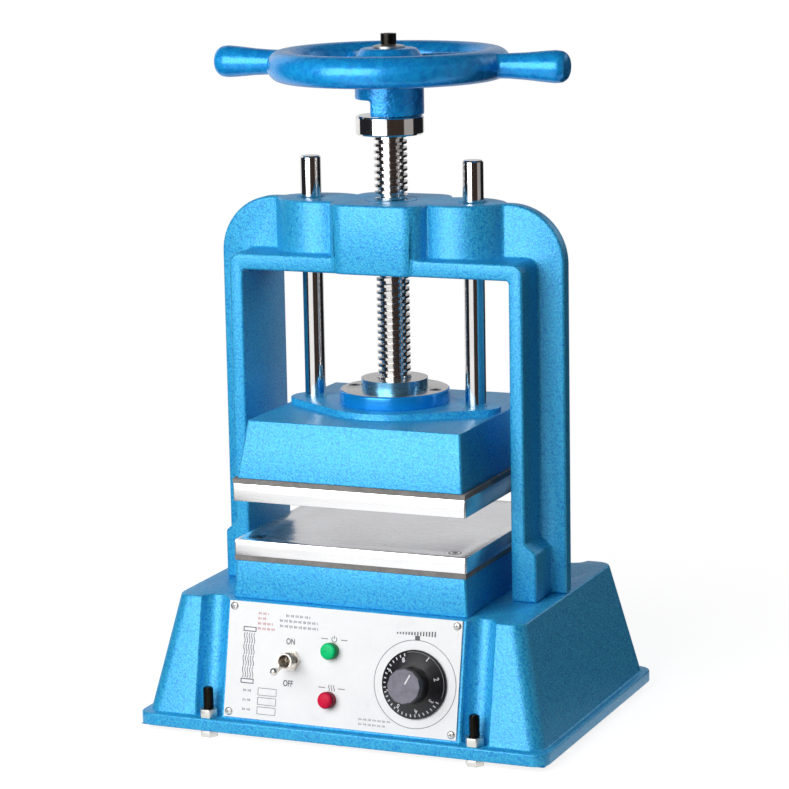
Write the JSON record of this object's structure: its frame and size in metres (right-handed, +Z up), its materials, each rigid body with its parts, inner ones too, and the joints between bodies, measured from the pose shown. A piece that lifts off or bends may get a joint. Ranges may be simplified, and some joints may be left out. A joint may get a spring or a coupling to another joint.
{
  "type": "rubber mold vulcanizer",
  "caption": "Bench screw press with two heated platens that cures rubber moulds, worked by a handwheel over a guided moving head.",
  "frame": {"origin": "on the bench surface, under the lead screw's axis, in the middle of the four mounting bolts", "axes": "+Z up along the lead screw, +X to the right along the handles at rest, -Y towards the control panel"},
  "size_m": [0.331, 0.2705, 0.5224],
  "materials": {
    "hammertone_blue": "hammered paint, semi gloss",
    "wheel_blue": "gloss paint over a cast surface",
    "ground_steel": "ground and polished",
    "thread_steel": "rolled thread, oiled",
    "platen_aluminium": "milled, fine brushed",
    "insulation": "compressed fibre board",
    "wool": "mineral wool",
    "heater_foil": "mica heater in a steel skin",
    "bronze": "turned bronze",
    "black_oxide": "black oxide",
    "bright_zinc": "bright zinc plate",
    "panel_white": "printed white enamel",
    "green_lens": "clear green plastic",
    "red_lens": "clear red plastic",
    "black_plastic": "moulded",
    "knob_grey": "moulded, satin",
    "switch_nickel": "nickel plate",
    "cover_steel": "zinc plated sheet",
    "terminal_cream": "moulded"
  },
  "bodies": {
    "base": {"base_housing": "hammertone_blue", "base_cover": "cover_steel", "cover_screws": "bright_zinc", "mounting_bolts": "black_oxide", "mounting_nuts": "bright_zinc", "press_frame": "hammertone_blue", "screw_nut": "bronze", "guide_bushes": "bronze", "frame_bolts": "black_oxide", "lower_bolster": "hammertone_blue", "bolster_bolts": "black_oxide", "lower_insulation": "insulation", "lower_wool_pad": "wool", "lower_heater": "heater_foil", "lower_platen": "platen_aluminium", "lower_platen_screws": "ground_steel", "heat_sensor": "bronze", "control_panel": "panel_white", "panel_screws": "bright_zinc", "power_switch": "switch_nickel", "switch_nut": "switch_nickel", "green_lamp_lens": "green_lens", "red_lamp_lens": "red_lens", "lamp_barrels": "black_plastic", "thermostat": "cover_steel", "mains_gland": "black_plastic", "base_lead_gland": "black_plastic", "terminal_block": "terminal_cream"},
    "moving_head": {"upper_platen": "platen_aluminium", "upper_platen_screws": "ground_steel", "upper_insulation": "insulation", "upper_heater": "heater_foil", "upper_wool_pad": "wool", "upper_bolster": "hammertone_blue", "guide_rods": "ground_steel", "thrust_bearing": "bronze", "thrust_flange": "wheel_blue", "thrust_flange_screws": "black_oxide", "thrust_retainer": "ground_steel", "head_lead_gland": "black_plastic"},
    "screw": {"lead_screw": "thread_steel", "drive_collar": "ground_steel", "collar_grub_screw": "black_oxide", "wheel_washer": "bright_zinc", "wheel_cap_screw": "black_oxide"},
    "wheel": {"handwheel": "wheel_blue"},
    "switch": {"switch_lever": "switch_nickel"},
    "dial": {"dial_shaft": "ground_steel", "temperature_dial": "black_plastic", "temperature_knob": "knob_grey"}
  },
  "joints": [
    {"name": "head_travel", "type": "slide", "parent": "base", "child": "moving_head", "axis": [0, 0, 1], "range_m": [-0.0295, 0.08]},
    {"name": "screw_turn", "type": "hinge", "parent": "moving_head", "child": "screw", "pos_m": [0, 0, 0.3], "axis": [0, 0, 1], "range_deg": [-2095.6, 5674.3]},
    {"name": "wheel_swing", "type": "hinge", "parent": "screw", "child": "wheel", "pos_m": [0, 0, 0.4996], "axis": [0, 0, 1], "range_deg": [-146.5, 0.7]},
    {"name": "switch_throw", "type": "hinge", "parent": "base", "child": "switch", "pos_m": [-0.0415, -0.1084, 0.06305], "axis": [-1, 0, 0], "range_deg": [0, 24]},
    {"name": "dial_turn", "type": "hinge", "parent": "base", "child": "dial", "pos_m": [0.0595, -0.11791, 0.05628], "axis": [0, 0.9806, -0.196], "range_deg": [0, 290]}
  ],
  "couplings": [
    {"joint": "screw_turn", "follows": "head_travel", "rad_per_m": 1236.8}
  ]
}
